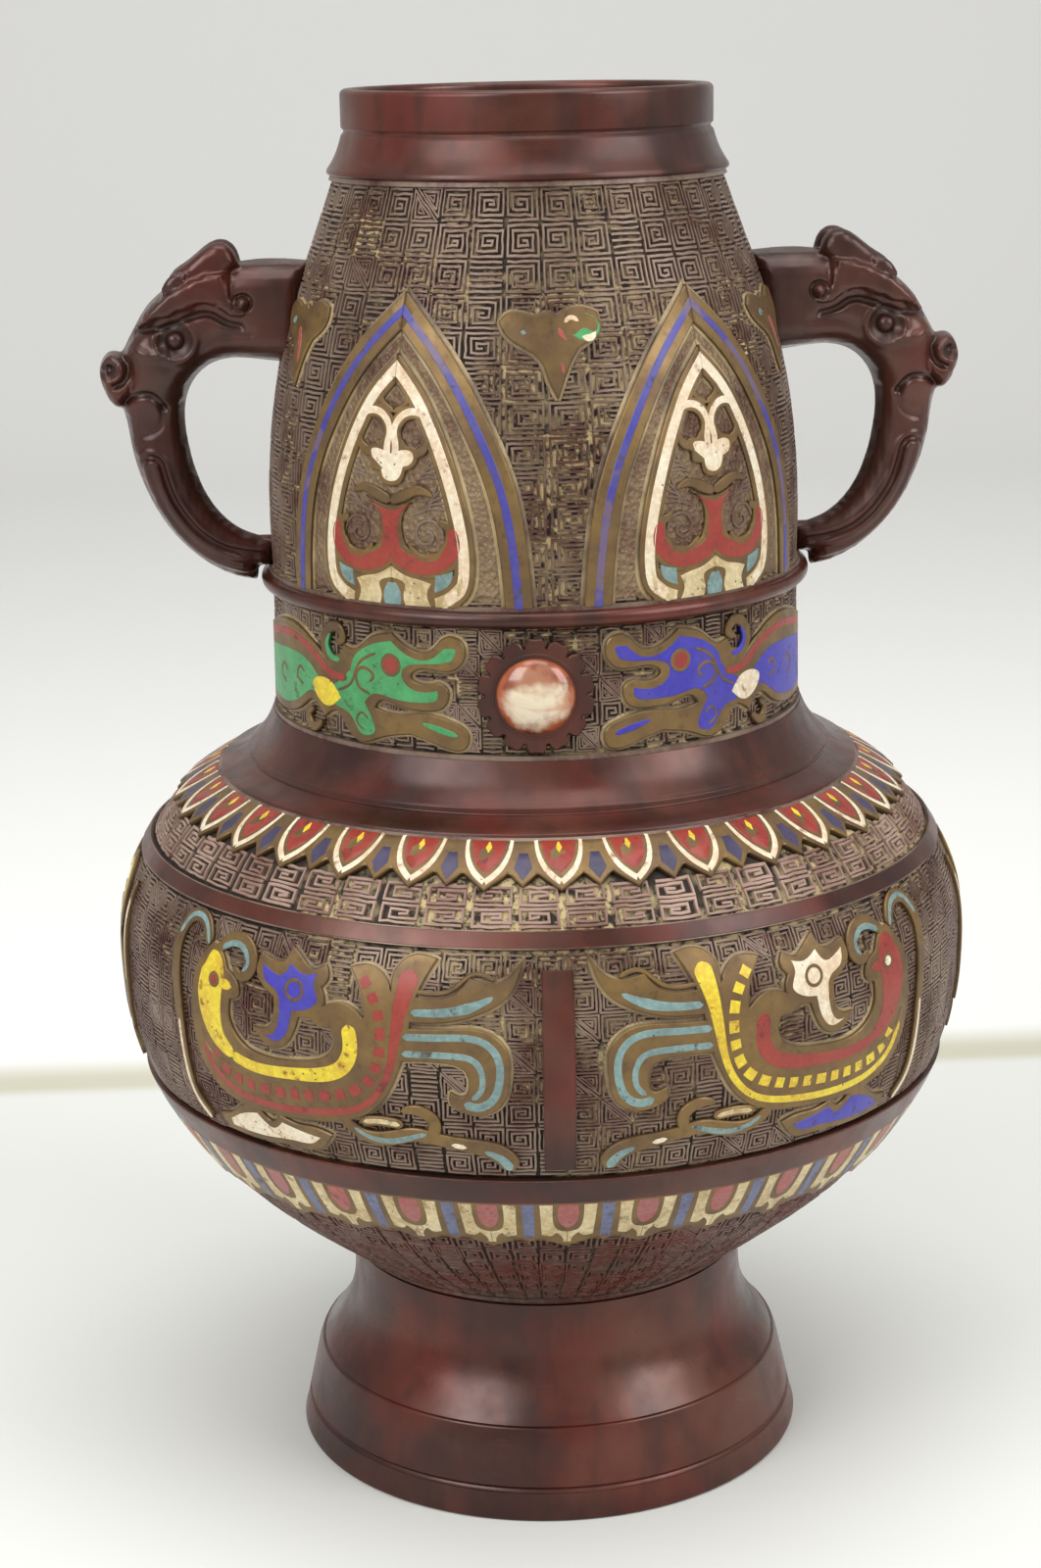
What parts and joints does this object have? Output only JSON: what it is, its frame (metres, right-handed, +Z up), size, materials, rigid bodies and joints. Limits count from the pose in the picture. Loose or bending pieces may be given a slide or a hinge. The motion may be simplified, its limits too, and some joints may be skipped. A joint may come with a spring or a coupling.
{
  "type": "baluster vase",
  "caption": "Baluster vase in patinated bronze with coloured enamel inlays, a stepped shoulder, a flared foot and two animal-head loop handles.",
  "frame": {"origin": "centre of the foot's resting ring, on the floor", "axes": "+Z up along the vase's axis; the handles lie on +X and -X; the front of the decoration faces -Y"},
  "size_m": [0.19, 0.19, 0.305],
  "materials": {
    "bronze": "dark red-brown patina, worn to a dull pinkish grey on the high ground",
    "handle_bronze": "smooth dark red-brown patina, satin",
    "setting": "red-brown patina",
    "plate": "dull turned metal",
    "agate": "polished, cream and white banding with an orange-red edge",
    "enamel_blue": "opaque vitreous enamel, ground flush",
    "enamel_white": "opaque vitreous enamel, ground flush",
    "enamel_red": "opaque vitreous enamel, ground flush",
    "enamel_green": "opaque vitreous enamel, ground flush",
    "enamel_pink": "opaque vitreous enamel, worn and pitted",
    "enamel_yellow": "opaque vitreous enamel, ground flush",
    "enamel_teal": "opaque vitreous enamel, ground flush"
  },
  "bodies": {
    "root": {"mouth_rim": "bronze", "neck": "bronze", "neck_bead": "bronze", "neck_band": "bronze", "shoulder_ring": "bronze", "upper_body": "bronze", "lower_body": "bronze", "foot": "bronze", "base_plate": "plate", "handle_left": "handle_bronze", "handle_right": "handle_bronze", "handle_rivets": "plate", "stone_front": "agate", "stone_back": "agate", "rosette_front": "setting", "rosette_back": "setting", "lappet_enamel": "enamel_blue", "medallion_enamel": "enamel_white", "fleur_enamel": "enamel_red", "trefoil_enamel": "enamel_green", "left_dragon_enamel": "enamel_green", "right_dragon_enamel": "enamel_blue", "left_bird_enamel": "enamel_red", "right_bird_enamel": "enamel_red", "left_cloud_enamel": "enamel_white", "right_cloud_enamel": "enamel_blue", "petal_enamel": "enamel_white", "petal_core_enamel": "enamel_red", "tongue_enamel": "enamel_white", "tongue_core_enamel": "enamel_pink"}
  },
  "joints": []
}
